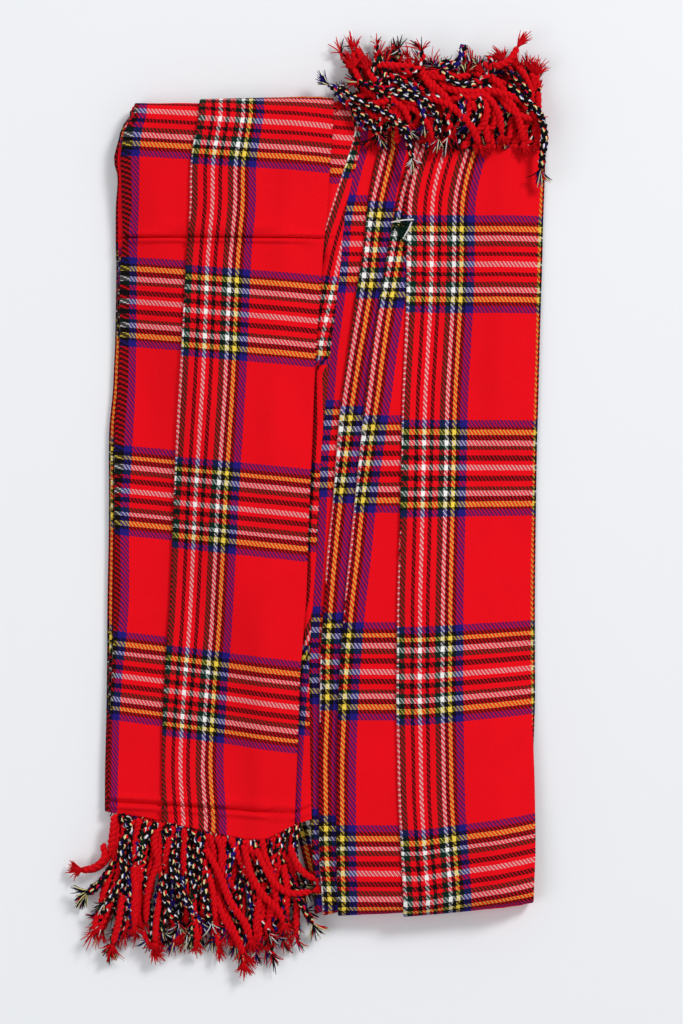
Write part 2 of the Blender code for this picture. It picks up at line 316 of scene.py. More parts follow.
# Warp position of a point, counted from the fold or stripe that its run is laid out from
def columnU(side, y, x, number):
    right = side == "right"
    # On the left panel mark4 is where blue begins on pleat 2, mark3 the warp position at the fold
    # of pleat 3, and mark2 the white stripe of the layer beside pleat 1
    left4, left3, left2, left1, right1, right0, white, mark4, mark3, mark2 = [
        smoothLook(rightPanel if right else leftPanel, y, c) for c in range(1, 11)]

    def pleat4(at):
        return (at - mark4) + blueMiddle - 3 * warpRepeat if right else (at - left4) + leftRim

    def pleat3(at):
        if right:
            return (at - mark3) * widened + yellowMiddle - 2 * warpRepeat
        return (at - left3) + mark3 - 2 * warpRepeat

    def pleat2(at):
        if right:
            return (at - mark2) * widened + yellowMiddle - warpRepeat
        past = at - mark4 + 1
        if past < 0:  # drawn together where the fold curves down
            past *= 2.2 / max(1.0, mark4 - 1.6 - left2)
        return past + blueStart - warpRepeat

    def pleat0(at):
        if right:
            return rightRim - (right0 - at)
        onStrip = at <= smoothLook(leftPanel, y, 11) + 0.001
        return at - stripShift if onStrip else warpRepeat + (at - mark2)

    def middle(at):
        return at - white

    # Runs that lie underneath are counted back from their fold
    under = {1: (pleat4, left4), 3: (pleat3, left3), 5: (pleat2, left2), 7: (middle, left1),
             9: (middle, right1), 11: (pleat0, right0)}
    if number in under:
        layout, fold = under[number]
        return layout(fold) - (x - fold)
    return {2: pleat4, 4: pleat3, 6: pleat2, 8: middle, 10: pleat0}[number](x)


def weftStep(side, y, x, number):
    if side == "left" and number >= 10:
        return stripStep if x <= smoothLook(leftPanel, y, 11) + 0.001 else lookUp(layerSteps, y, 1)
    if side == "left" and number == 6:
        return lookUp(sideSteps, y, 1)
    return pleatSteps.get(number, 0)


# How far a row of the weave has dropped at x; the pleats of the right panel lie level
def lean(side, slope, x):
    return slope * max(0, x - rightReference) if side == "right" else slope * (x - leftReference)


# Each station is a function of a column that gives its point, nose offset, warp and weft position
def makeStations():
    axisBottom = [foldAxis(i, x, bottomFold, bottomLevels, 1) for i, x in enumerate(bottomLines)]
    axisTop = [foldAxis(i, x, topFold, topLevels, -1) for i, x in enumerate(topLines)]

    def panel(side, table, ends, axis, weft, y, first, last):
        share = (y - first) / (last - first)

        def point(column):
            place, offset, height, number = column
            seen = y
            for again in range(3):  # the tables are read at the height that shows
                x = onLines(linesAt(table, seen), place)
                along = between(lookUp(ends, x, 1), onLines(axis, place), share)
                seen = between(along, y, eased(share * 8 - 7))
            high = (rideHeight(x, along) + height) * pitchM
            lift = relief(side, x, along)
            # A hollow presses the stack together, down to nothing on the floor
            z = sheetM / 2 + high + (lift if lift > 0 else lift * min(1.0, high / 0.008))
            slope = lookUp(weft, along, 2)
            v = lookUp(weft, along - lean(side, slope, x) + weftStep(side, seen, x, number), 1)
            return x, along, z, offset, columnU(side, seen, x, number), v
        return point

    def turn(side, lines, axis, fold, levels, outward, angle, y, weft):
        def point(column):
            place, offset, height, number = column
            x = onLines(lines, place)
            centre, inner = turnShape(place, x, lookUp(fold, x, 1), levels)
            radius = inner + height * pitchM
            along = onLines(axis, place) + outward * radius * math.sin(angle) / unitM
            lift = max(0.0, relief(side, x, along)) * math.cos(angle / 2)**2
            z = centre + radius * math.cos(angle) + lift
            slope = lookUp(weft, y, 2)
            start = lookUp(weft, onLines(axis, place) - lean(side, slope, x)
                           + weftStep(side, y, x, number), 1)
            v = start + outward * angle * radius / unitM
            return x, along, z, offset, columnU(side, y, x, number), v
        return point

    def slant(share):
        def point(column):
            place, offset, height, number = column
            x = between(onLines(bottomLines, place), onLines(topLines, place), share)
            along = between(onLines(axisBottom, place), onLines(axisTop, place), share)
            tall = between(onLines(bottomLevels, place, True),
                           onLines(topLevels, place, True), share)
            z = sheetM / 2 + (tall - height) * pitchM
            u = between(columnU("right", rightBottom, onLines(bottomLines, place), number),
                        columnU("left", leftTop, onLines(topLines, place), number), share)
            return x, along, z, offset, u, between(*slantWeft, share)
        return point

    made = [panel("right", rightPanel, rightEnd, axisBottom, rightWeft, y, rightTop, rightBottom)
            for y in rightRows]
    made += [turn("right", bottomLines, axisBottom, bottomFold, bottomLevels, 1,
                  math.pi * step / turnSteps, rightBottom, rightWeft)
             for step in range(1, turnSteps)]
    made += [slant(step / slantSteps) for step in range(slantSteps + 1)]
    made += [turn("left", topLines, axisTop, topFold, topLevels, -1,
                  math.pi * (1 - step / turnSteps), leftTop, leftWeft)
             for step in range(1, turnSteps)]
    made += [panel("left", leftPanel, leftEnd, axisTop, leftWeft, y, leftBottom, leftTop)
             for y in leftRows]
    return made


def worldPoint(x, y, z):
    return Vector(((x - centreX) * unitM, (centreY - y) * unitM, z))


def finishMesh(name, shape, material, smooth=True):
    data = bpy.data.meshes.new(name)
    shape.to_mesh(data)
    shape.free()
    if smooth:
        data.polygons.foreach_set("use_smooth", [True] * len(data.polygons))
    data.materials.append(material)
    made = bpy.data.objects.new(name, data)
    bpy.context.scene.collection.objects.link(made)
    return made


# A node output that can be used in sums; Wire(tree) has no output yet and only makes nodes
class Wire:
    def __init__(self, tree, socket=None):
        self.tree = tree
        self.socket = socket

    def node(self, kind, settings, *values, out=0):
        made = self.tree.nodes.new(kind)
        for key, value in settings.items():
            if key == "stops":
                ramp = made.color_ramp
                ramp.interpolation = "CONSTANT"
                ramp.elements.remove(ramp.elements[1])
                ramp.elements[0].position, ramp.elements[0].color = value[0]
                for position, color in value[1:]:
                    ramp.elements.new(position).color = color
            else:
                setattr(made, key, value)
        for index, value in values:
            if isinstance(value, Wire):
                self.tree.links.new(value.socket, made.inputs[index])
            else:
                made.inputs[index].default_value = value
        return Wire(self.tree, made.outputs[out])

    def math(self, operation, other=0.0):
        return self.node("ShaderNodeMath", {"operation": operation}, (0, self), (1, other))

    def __add__(self, other):
        return self.math("ADD", other)

    def __sub__(self, other):
        return self.math("SUBTRACT", other)

    def __rsub__(self, other):
        return self.node("ShaderNodeMath", {"operation": "SUBTRACT"}, (0, other), (1, self))

    def __mul__(self, other):
        return self.math("MULTIPLY", other)

    def __truediv__(self, other):
        return self.math("DIVIDE", other)

    def __rtruediv__(self, other):
        return self.node("ShaderNodeMath", {"operation": "DIVIDE"}, (0, other), (1, self))

    __radd__ = __add__
    __rmul__ = __mul__

    # Colour A where this is 0, colour B where it is 1
    def mix(self, colorA, colorB):
        return self.node("ShaderNodeMix", {"data_type": "RGBA"}, (0, self), (6, colorA),
                         (7, colorB), out=2)

    def vector(self, operation, *values, out=0):
        return self.node("ShaderNodeVectorMath", {"operation": operation}, (0, self), *values,
                         out=out)

    def brightness(self):
        return self.vector("DOT_PRODUCT", (1, (0.33, 0.33, 0.33)), out=1)

    def scale(self, factor):
        return self.vector("SCALE", (3, factor))

    def parts(self):
        made = self.node("ShaderNodeSeparateXYZ", {}, (0, self)).socket.node
        return Wire(self.tree, made.outputs[0]), Wire(self.tree, made.outputs[1])

    def noise(self, size, detail):
        return self.node("ShaderNodeTexNoise", {}, (0, self), (2, size), (3, detail))

    def ridge(self, strength, distance):
        return self.node("ShaderNodeBump", {}, ("Strength", strength), ("Distance", distance),
                         ("Height", self))

    def feed(self, shader, name):
        self.tree.links.new(self.socket, shader.inputs[name])


yarns = {
    "R": (0.80, 0.004, 0.010, 1),
    "K": (0.006, 0.004, 0.005, 1),
    "G": (0.003, 0.020, 0.012, 1),
    "W": (0.90, 0.88, 0.85, 1),
    "Y": (0.90, 0.64, 0.07, 1),
    "P": (0.88, 0.80, 0.38, 1),
    "B": (0.018, 0.010, 0.17, 1),
}


def rooted(color):
    return tuple(math.sqrt(part) for part in color[:3]) + (1,)


# Colours of the stripes by thread count, as square roots, so that threads blend as the eye sees
def stripeColor(threads, pitch, edges, half):
    place = ((threads + 0.5) * pitch).math("PINGPONG", half) / half
    stops = [(edge / half, rooted(yarns[letter]))
             for edge, letter in zip((0.0,) + edges, stripeOrder)]
    return place.node("ShaderNodeValToRGB", {"stops": stops}, (0, place))


def newMaterial(name):
    material = bpy.data.materials.new(name)
    material.use_nodes = True
    return material, material.node_tree.nodes["Principled BSDF"]


# "dark" and "mixed shade" set the painted shade between threads and between floats
tartan = {"warp pitch": 0.94, "weft pitch": 1.33, "under": 0.19, "narrowing": 1.5,
          "warp lead": 0.12, "mixed shade": 0.12, "dark": 0.78, "roughness": 0.88,
          "bump": (0.35, 0.00025), "gloss": 0.04, "rounding": 1.4, "wander": (260.0, 2.0),
          "wander reach": (1.1, 0.9), "patch": (38.0, 4.0), "fleck": (1500.0, 2.0)}


def tartanMaterial():
    material, shader = newMaterial("tartan_twill")
    start = Wire(material.node_tree)
    u, v = start.node("ShaderNodeUVMap", {"uv_map": "cloth"}).parts()
    place = start.node("ShaderNodeTexCoord", {}, out="Object")
    wander = place.noise(*tartan["wander"]) - 0.5
    warpCount = (u + wander * tartan["wander reach"][0]) / tartan["warp pitch"]
    weftCount = (v + wander * tartan["wander reach"][1]) / tartan["weft pitch"]
    warpThread, weftThread = warpCount.math("FLOOR"), weftCount.math("FLOOR")
    warpColor = stripeColor(warpThread, tartan["warp pitch"], warpEdges, warpHalf)
    weftColor = stripeColor(weftThread, tartan["weft pitch"], weftEdges, weftHalf)

    # Two over and two under; the floats of the brighter yarn are narrowed
    lead = warpColor.brightness() - weftColor.brightness()
    longer = (lead * -tartan["narrowing"]).math("MAXIMUM", -0.95).math("MINIMUM", 0.95)
    longer = longer + tartan["warp lead"]
    across = (warpThread - weftCount + 2.0).math("FLOORED_MODULO", 4.0) - 2.0
    over = across.math("ABSOLUTE").math("LESS_THAN", longer * 0.5 + 1.0)
    warpRound, weftRound = [
        (count.math("FRACT") - 0.5).math("ABSOLUTE") * -tartan["rounding"] + 1.0
        for count in (warpCount, weftCount)]
    height = over * warpRound + (1 - over) * weftRound

    # Painted shade: each thread is darkened towards its edges, and where warp and weft colours
    # differ the colour is darkened further as shadow between the floats; patch and fleck add
    # random tone
    patch, fleck = place.noise(*tartan["patch"]), place.noise(*tartan["fleck"])
    mixed = (lead.math("ABSOLUTE") * 6.0).math("MINIMUM", 1.0) * tartan["mixed shade"]
    shade = height * (1 - tartan["dark"]) + tartan["dark"]
    shade = shade * (patch * 0.16 + 0.92) * (fleck * 0.3 + 0.85)
    blend = over * (1 - 2 * tartan["under"]) + tartan["under"]
    color = blend.mix(weftColor, warpColor)
    color = color.vector("MULTIPLY", (1, color))  # back from square roots
    color.scale(shade * (1 - mixed)).feed(shader, "Base Color")
    (patch * 0.1 + (tartan["roughness"] - 0.05)).feed(shader, "Roughness")
    height.ridge(*tartan["bump"]).feed(shader, "Normal")
    shader.inputs["Specular IOR Level"].default_value = tartan["gloss"]
    return material


yarnLayers = ("yarnA", "yarnB", "yarnC")
twistedYarn = {"lay": 0.27, "broken": (260.0, 1.0), "broken reach": 0.4, "flecks": (0.70, 0.86),
               "hairs": 5.0, "fleck": (900.0, 2.0), "bump": (0.5, 0.0003), "roughness": 0.9,
               "gloss": 0.06}


def yarnMaterial():
    material, shader = newMaterial("twisted_yarn")
    start = Wire(material.node_tree)
    colorA, colorB, colorC = [start.node("ShaderNodeAttribute", {"attribute_name": name})
                              for name in yarnLayers]
    around, along = start.node("ShaderNodeUVMap", {"uv_map": "yarn"}).parts()
    twist = around - along * twistedYarn["lay"]
    place = start.node("ShaderNodeTexCoord", {}, out="Object")
    broken = place.noise(*twistedYarn["broken"]) * twistedYarn["broken reach"]
    thread = (twist.math("FRACT") + broken).math("FRACT")
    second, third = [thread.math("GREATER_THAN", edge) for edge in twistedYarn["flecks"]]
    # Fibre ridges along the twist give the bump, and the colour is darkened in the grooves between
    # them as painted shade; fleck adds random tone
    hair = ((twist * twistedYarn["hairs"]).math("FRACT") - 0.5).math("ABSOLUTE") * 2.0
    fleck = place.noise(*twistedYarn["fleck"])
    color = third.mix(second.mix(colorA, colorB), colorC)
    color.scale((hair * 0.45 + 0.55) * (fleck * 0.5 + 0.75)).feed(shader, "Base Color")
    (hair + fleck).ridge(*twistedYarn["bump"]).feed(shader, "Normal")
    shader.inputs["Roughness"].default_value = twistedYarn["roughness"]
    shader.inputs["Specular IOR Level"].default_value = twistedYarn["gloss"]
    return material


def makeCloth(material):
    stations = makeStations()
    wide, long = len(columns), len(stations)
    shape = bmesh.new()
    bmesh.ops.create_grid(shape, x_segments=wide - 1, y_segments=long - 1, size=1)
    shape.verts.ensure_lookup_table()
    uvLayer = shape.loops.layers.uv.new("cloth")
    found = {}
    for s, station in enumerate(stations):
        for c, column in enumerate(columns):
            x, y, z, offset, u, v = station(column)
            vert = shape.verts[s * wide + c]
            vert.co = worldPoint(x, y, z) + Vector((offset, 0, 0))
            found[vert.index] = (u, v)
    for face in shape.faces:
        for loop in face.loops:
            loop[uvLayer].uv = found[loop.vert.index]
    area = sum(face.calc_area() for face in shape.faces)
    print("cloth", wide, "x", long, "area", round(area, 4))
    cloth = finishMesh("tartan_cloth", shape, material)
    wall = cloth.modifiers.new("wall", "SOLIDIFY")
    wall.thickness = sheetM
    wall.offset = 0
    return cloth


cords = {"radius": 0.00142, "lay": 0.00130, "pitch": 11.5, "hair": 0.00043,
         "hair length": (9, 21)}
# How finely each kind of cord is made: step along it, sides, hairs of its tuft
fineness = {"top": (1.7, 6, 30), "under": (2.6, 5, 10), "fluffy": (1.7, 6, 64)}


# Evenly spaced points on a smooth curve through given ones
def curveThrough(points, spacing):
    dense = []
    for i in range(len(points) - 1):
        p0, p1, p2, p3 = [points[min(max(i + j, 0), len(points) - 1)] for j in (-1, 0, 1, 2)]
        for k in range(12):
            t = k / 12
            dense.append(0.5 * (2 * p1 + (p2 - p0) * t + (2 * p0 - 5 * p1 + 4 * p2 - p3) * t**2
                                + (3 * p1 - p0 - 3 * p2 + p3) * t**3))
    dense.append(points[-1])
    out = [dense[0]]
    gap = 0.0
    for a, b in zip(dense, dense[1:]):
        gap += (b - a).length
        if gap >= spacing:
            out.append(b)
            gap = 0.0
    return out


# Two directions square to the way ahead
def squareTo(ahead):
    across = ahead.cross(Vector((0, 0, 1)))
    across = across.normalized() if across.length >= 0.05 else Vector((1, 0, 0))
    return across, across.cross(ahead)


class FringeMesh:
    def __init__(self):
        self.shape = bmesh.new()
        self.uv = self.shape.loops.layers.uv.new("yarn")
        self.colors = [self.shape.verts.layers.float_color.new(name) for name in yarnLayers]

    # A closed round tube; yarn holds its three colours
    def tube(self, points, radii, sides, yarn, turn=0.0):
        rings, lengths = [], []
        length = 0.0
        for i, point in enumerate(points):
            ahead = points[min(i + 1, len(points) - 1)] - points[max(i - 1, 0)]
            ahead.normalize()
            across, up = squareTo(ahead)
            if i:
                length += (point - points[i - 1]).length / unitM
            lengths.append(length)
            ring = []
            for k in range(sides):
                angle = 2 * math.pi * k / sides + turn
                vert = self.shape.verts.new(point + radii[i] * (math.cos(angle) * across
                                                               + math.sin(angle) * up))
                for layer, color in zip(self.colors, yarn):
                    vert[layer] = color
                ring.append(vert)
            rings.append(ring)
        for i in range(len(rings) - 1):
            for k in range(sides):
                k2 = (k + 1) % sides
                face = self.shape.faces.new((rings[i][k], rings[i][k2], rings[i + 1][k2],
                                             rings[i + 1][k]))
                marks = ((k, i), (k + 1, i), (k + 1, i + 1), (k, i + 1))
                for loop, (a, b) in zip(face.loops, marks):
                    loop[self.uv].uv = (a / sides, lengths[b] / 3.0)
        self.shape.faces.new(list(reversed(rings[0])))
        self.shape.faces.new(rings[-1])

    def cord(self, points, kind, seed, made="top"):
        step, sides, hairs = fineness[made]
        plies = [tuple(yarns[letter] for letter in ply) for ply in plyKinds[kind]]
        chance = random.Random(seed)
        path = curveThrough([worldPoint(*p) for p in points], step * unitM)
        size = chance.uniform(0.9, 1.08)
        phase = chance.uniform(0, 6.28)
        for ply, yarn in enumerate(plies):
            centre, radii = [], []
            run = 0.0
            for i, point in enumerate(path):
                ahead = (path[min(i + 1, len(path) - 1)] - path[max(i - 1, 0)]).normalized()
                across, up = squareTo(ahead)
                if i:
                    run += (point - path[i - 1]).length / unitM
                angle = phase + math.pi * ply - 2 * math.pi * run / cords["pitch"]
                pinch = 0.8 if i > len(path) - 3 else 1.0
                off = cords["lay"] * size * pinch * 0.88
                centre.append(point + off * (math.cos(angle) * across
                                             + math.sin(angle) * up * 0.85))
                radii.append(cords["radius"] * size * pinch)
            self.tube(centre, radii, sides, yarn, phase)
        self.tuft(path[-1], (path[-1] - path[-4]).normalized(), plies, chance, hairs)

    def tuft(self, root, ahead, plies, chance, hairs):
        across = squareTo(ahead)[0]
        fan = chance.uniform(0.55, 1.3)
        size = chance.uniform(0.75, 1.1)
        droop = chance.uniform(-0.3, 0.3)
        for hair in range(hairs):
            yarn = plies[hair % len(plies)]
            color = yarn[chance.choice((0, 0, 1, 2))]
            spread = fan * chance.uniform(-1.0, 1.0)
            long = size * chance.uniform(*cords["hair length"]) * unitM
            long *= 1.1 - 0.3 * abs(spread)
            bend = spread * chance.uniform(-0.2, 0.7) + droop
            rise = chance.uniform(-0.35, 0.3)
            points = []
            for k in range(4):
                t = k / 3
                side = (spread * 0.62 * t + bend * 0.6 * t * t) * long
                point = root + ahead * long * t * (1 - 0.3 * abs(spread) * t) + across * side
                point.z = max(0.0009, point.z + rise * t * (1.3 - t) * long)
                points.append(point)
            thick = cords["hair"] * chance.uniform(0.8, 1.15)
            self.tube(points, [thick, thick * 1.1, thick, thick * 0.5], 3, (color,) * 3)


# The two plies of each kind of cord: a main colour and two flecks
plyKinds = {
    "red": ("RRR", "RRR"),
    "black": ("KWB", "KPR"),
    "mixed": ("RRK", "KWR"),
    "blue": ("KBW", "BRP"),
    "green": ("KPG", "GRW"),
    "dark": ("KRB", "KRP"),
}


# Height of the uppermost layer of a panel near its end
def topHeight(side, x, y):
    lines = linesAt(rightPanel if side == "right" else leftPanel, y)
    tops = (1, 3, 5, 5, 7, 7, 7, 8, 6, 3, 2, 1)
    for index in range(len(lines) - 1):
        if x < lines[index + 1]:
            share = (x - lines[index]) / (lines[index + 1] - lines[index])
            high = tops[index] if index < 4 else between(tops[index], tops[index + 1], share)
            return sheetM / 2 + (rideHeight(x, y) + high) * pitchM
    return sheetM / 2 + pitchM


# Cords that lie on top, as the photograph shows them: kind, then x and y of each bend
lowerTop = (
    ("red", 114, 818, 112, 838, 108, 856, 97, 868, 80, 872),
    ("black", 121, 816, 127, 832, 122, 852, 110, 876, 88, 893),
    ("black", 126, 818, 131, 838, 127, 872, 112, 900, 96, 916),
    ("mixed", 133, 820, 124, 850, 120, 880, 108, 905, 102, 924),
    ("red", 139, 820, 133, 848, 135, 890, 128, 920, 116, 936),
    ("green", 145, 822, 140, 850, 131, 885, 127, 920, 113, 944),
    ("red", 150, 823, 142, 850, 138, 890, 140, 925, 152, 950),
    ("black", 156, 824, 143, 848, 146, 894, 153, 922, 163, 936),
    ("red", 161, 824, 153, 842, 160, 872, 170, 912, 175, 932),
    ("black", 166, 826, 173, 848, 177, 888, 179, 922, 186, 940),
    ("red", 173, 828, 165, 856, 163, 890, 160, 925, 156, 942),
    ("blue", 179, 829, 183, 855, 170, 892, 176, 920, 174, 942),
    ("red", 184, 830, 184, 862, 186, 900, 184, 925, 180, 940),
    ("black", 190, 831, 196, 845, 190, 882, 195, 914, 188, 932),
    ("mixed", 197, 833, 202, 850, 209, 880, 210, 907, 217, 930),
    ("black", 203, 834, 199, 856, 201, 890, 206, 918, 210, 938),
    ("red", 210, 836, 215, 860, 219, 895, 220, 915, 226, 936),
    ("red", 217, 837, 226, 862, 228, 890, 236, 916, 240, 942),
    ("red", 224, 838, 222, 866, 234, 894, 243, 926, 245, 962),
    ("red", 231, 839, 241, 862, 252, 886, 262, 905, 276, 920),
    ("blue", 238, 840, 229, 866, 226, 896, 232, 926, 236, 946),
    ("black", 250, 842, 246, 866, 238, 886, 232, 912, 228, 930),
    ("red", 245, 841, 257, 864, 270, 888, 288, 894, 300, 897),
    ("black", 256, 841, 260, 872, 270, 894, 288, 906, 304, 912),
    ("red", 262, 840, 268, 866, 280, 884, 286, 905, 284, 922),
    ("black", 291, 828, 280, 842, 283, 866, 290, 880, 304, 886),
    ("red", 272, 838, 285, 856, 297, 868, 308, 874),
    ("mixed", 280, 836, 274, 856, 270, 884, 262, 910, 264, 936),
    ("black", 298, 824, 294, 846, 297, 864, 303, 874, 305, 890),
)
upperTop = (
    ("red", 362, 129, 366, 112, 371, 98, 358, 78, 352, 64),
    ("blue", 366, 129, 352, 110, 344, 100, 337, 90, 329, 82),
    ("black", 372, 129, 384, 118, 376, 106, 358, 98, 346, 90),
    ("red", 378, 129, 368, 113, 362, 106, 352, 106, 344, 104),
    ("green", 384, 129, 392, 112, 386, 94, 378, 80, 379, 66),
    ("red", 390, 129, 380, 112, 384, 98, 396, 88, 402, 78),
    ("red", 396, 129, 408, 116, 404, 102, 390, 92, 388, 78),
    ("black", 402, 129, 392, 118, 400, 104, 412, 88, 419, 70),
    ("red", 408, 130, 420, 116, 416, 98, 426, 86, 438, 80),
    ("green", 414, 132, 402, 114, 412, 94, 427, 76, 438, 66),
    ("red", 420, 141, 430, 122, 424, 102, 433, 84, 446, 74),
    ("black", 427, 146, 436, 128, 450, 112, 446, 92, 437, 78),
    ("red", 433, 146, 428, 124, 438, 104, 451, 92, 460, 80),
    ("red", 439, 146, 452, 134, 462, 116, 456, 100, 446, 90),
    ("black", 445, 147, 456, 130, 460, 108, 453, 92, 449, 76),
    ("mixed", 451, 147, 448, 130, 458, 112, 469, 100, 473, 80),
    ("black", 457, 147, 466, 132, 470, 112, 463, 96, 466, 72),
    ("red", 463, 147, 474, 134, 478, 114, 468, 98, 457, 88),
    ("dark", 469, 147, 476, 128, 474, 108, 481, 90, 477, 66),
    ("red", 475, 147, 488, 132, 486, 112, 475, 99, 467, 93),
    ("red", 481, 147, 478, 128, 490, 110, 497, 92, 490, 78),
    ("blue", 487, 147, 500, 134, 504, 114, 494, 96, 492, 76),
    ("red", 493, 148, 490, 128, 500, 108, 511, 92, 506, 70),
    ("red", 499, 148, 512, 134, 510, 112, 501, 94, 501, 66),
    ("green", 505, 148, 502, 128, 514, 108, 516, 94, 512, 80),
    ("red", 511, 148, 522, 132, 520, 112, 527, 92, 522, 70),
    ("red", 517, 148, 514, 128, 524, 108, 533, 92, 533, 72),
    ("mixed", 523, 148, 534, 134, 532, 114, 523, 98, 526, 84),
    ("red", 529, 148, 526, 128, 536, 110, 539, 94, 537, 76),
    ("red", 535, 148, 540, 132, 538, 114, 532, 100, 531, 88),
    ("red", 540, 148, 535, 132, 539, 118, 540, 104, 539, 90),
)
# Loose cords that cross the others: kind, height of the middle, x and y of each bend
upperLoose = (
    ("black", 0.0215, 386, 92, 400, 91, 414, 95, 428, 104, 437, 118, 438, 138),
    ("black", 0.0218, 340, 87, 357, 101, 377, 109, 394, 121, 406, 134, 412, 158),
    ("black", 0.0195, 509, 82, 521, 97, 538, 112, 544, 131, 543, 152, 541, 168),
    ("red", 0.0188, 440, 82, 458, 92, 474, 106, 484, 122, 488, 142),
    ("red", 0.0195, 418, 97, 440, 101, 458, 112, 472, 128, 479, 144),
    ("red", 0.0185, 400, 101, 418, 112, 429, 126, 434, 142),
    ("red fluffy", 0.0170, 383, 104, 372, 94, 361, 82, 354, 68),
    ("red fluffy", 0.0175, 402, 120, 394, 106, 386, 98, 377, 98),
    ("red fluffy", 0.0200, 452, 112, 446, 98, 436, 88, 430, 80),
    ("red fluffy", 0.0150, 520, 100, 516, 84, 510, 70, 504, 60),
    ("red fluffy", 0.0150, 532, 104, 530, 88, 524, 74, 518, 66),
    ("blue fluffy", 0.0140, 396, 100, 390, 88, 388, 78, 387, 70),
    ("dark fluffy", 0.0195, 530, 96, 522, 84, 514, 76, 508, 70),
    ("green", 0.0160, 382, 90, 374, 74, 378, 60, 386, 56),
    ("red", 0.0190, 372, 106, 390, 101, 403, 108, 409, 122),
    ("red", 0.0185, 492, 84, 506, 98, 518, 116, 523, 140),
    ("red", 0.0190, 468, 86, 486, 96, 498, 112, 502, 134),
    ("red", 0.0150, 346, 104, 360, 96, 376, 92, 394, 84, 402, 74),
    ("dark", 0.0150, 430, 78, 440, 66, 450, 62, 458, 72),
    ("red", 0.0165, 424, 74, 440, 72, 456, 78, 468, 90),
    ("blue", 0.0160, 484, 100, 480, 86, 486, 74, 497, 72),
)
lowerLoose = (
    ("black", 0.0150, 130, 830, 121, 850, 124, 872, 116, 892, 104, 904),
    ("red fluffy", 0.0150, 244, 846, 250, 872, 262, 894, 278, 910, 284, 924),
    ("red fluffy", 0.0140, 206, 850, 220, 876, 230, 902, 244, 922, 250, 940),
    ("black", 0.0150, 180, 840, 172, 866, 182, 892, 194, 916),
    ("red fluffy", 0.0135, 262, 850, 272, 878, 276, 900, 268, 920),
    ("red", 0.0160, 256, 850, 272, 880, 290, 893, 312, 892),
    ("red", 0.0150, 290, 846, 296, 862, 305, 874, 316, 880),
    ("green fluffy", 0.0105, 138, 880, 126, 905, 116, 930, 111, 946),
    ("mixed fluffy", 0.0110, 128, 870, 112, 892, 104, 912, 98, 922),
    ("dark fluffy", 0.0105, 122, 850, 108, 872, 96, 888, 86, 896),
    ("green fluffy", 0.0110, 170, 880, 166, 905, 162, 925, 163, 934),
    ("green fluffy", 0.0110, 196, 880, 192, 905, 194, 925, 190, 938),
    ("red fluffy", 0.0110, 216, 890, 226, 915, 236, 938, 244, 956),
    ("dark", 0.0130, 286, 872, 296, 892, 304, 910, 312, 924),
    ("red fluffy", 0.0110, 102, 846, 104, 858, 94, 868, 82, 871),
)
fringeSides = {
    "fringe_upper_cords": {
        "side": "right", "sign": -1, "roots": (362, 541), "edge": 541, "length": (58, 84),
        "lean": (-16, 4), "floor": 0.0080, "unevenness": 0.0034, "seed": 11, "top": upperTop,
        "loose": upperLoose, "first loose": 800,
        "tangle": {"count": 44, "across": (350, 500), "along": (64, 108), "heading": (34, 30),
                   "heights": (0.0150, 0.0200), "curl": 28, "reach": 14,
                   "limits": (334, 543), "turned": 0.5}},
    "fringe_lower_cords": {
        "side": "left", "sign": 1, "roots": (110, 298), "edge": 303, "length": (92, 116),
        "lean": (-22, 8), "floor": 0.0058, "unevenness": 0.0020, "seed": 29, "top": lowerTop,
        "loose": lowerLoose, "first loose": 821,
        "tangle": {"count": 18, "across": (112, 290), "along": (866, 896), "heading": (95, 14),
                   "heights": (0.0105, 0.0135), "curl": 12, "reach": 17,
                   "limits": (92, 303), "turned": 0.0}},
}
backRows = {"counts": (18, 19, 18), "lowest": 0.0032, "apart": 0.0030, "sway": 9}
backKinds = ("red", "red", "red", "mixed", "black", "blue", "dark")
threadEnds = {"apart": (0.9, 1.9), "yarns": "RRRRRKWPBK", "reach": (3, 9), "drift": 3}


def bendsOf(numbers):
    return list(zip(numbers[::2], numbers[1::2]))


# Straight cords in rows, mostly hidden
def addBackRows(mesh, facts, ends, chance):
    first, last = facts["roots"]
    for row, count in enumerate(backRows["counts"]):
        for i in range(count):
            x = between(first, last, (i + 0.5) / count) + chance.uniform(-2, 2)
            y = lookUp(ends, x, 1) + facts["sign"] * 1.5
            z = backRows["lowest"] + row * backRows["apart"]
            long = facts["sign"] * chance.uniform(*facts["length"])
            sway = chance.uniform(-backRows["sway"], backRows["sway"])
            tipX = min(x + between(*facts["lean"], i / count) + sway, facts["edge"])
            points = [(x, y, z), (min(x + sway * 0.6, facts["edge"]), y + long * 0.33, z),
                      (between(x, tipX, 0.55) - sway * 0.4, y + long * 0.68, z),
                      (tipX, y + long, z * 0.9)]
            mesh.cord(points, chance.choice(backKinds), facts["seed"] + row * 100 + i, "under")


# Cords that start on the top layer and come down to the others
def addTopCords(mesh, facts, chance):
    for i, (kind, *numbers) in enumerate(facts["top"]):
        bends = bendsOf(numbers)
        rise = max(topHeight(facts["side"], *bends[0]) - 0.0008, 0.0105)
        points = []
        for k, (x, y) in enumerate(bends):
            share = k / (len(bends) - 1)
            z = between(rise, facts["floor"], eased(share * 1.3))
            z += facts["unevenness"] * ((i * 7 + k * 3) % 5) / 4
            if k:
                x += chance.uniform(-1.5, 1.5)
                y += chance.uniform(-1.5, 1.5)
            points.append((x, y, z))
        mesh.cord(points, kind, facts["seed"] + 500 + i)


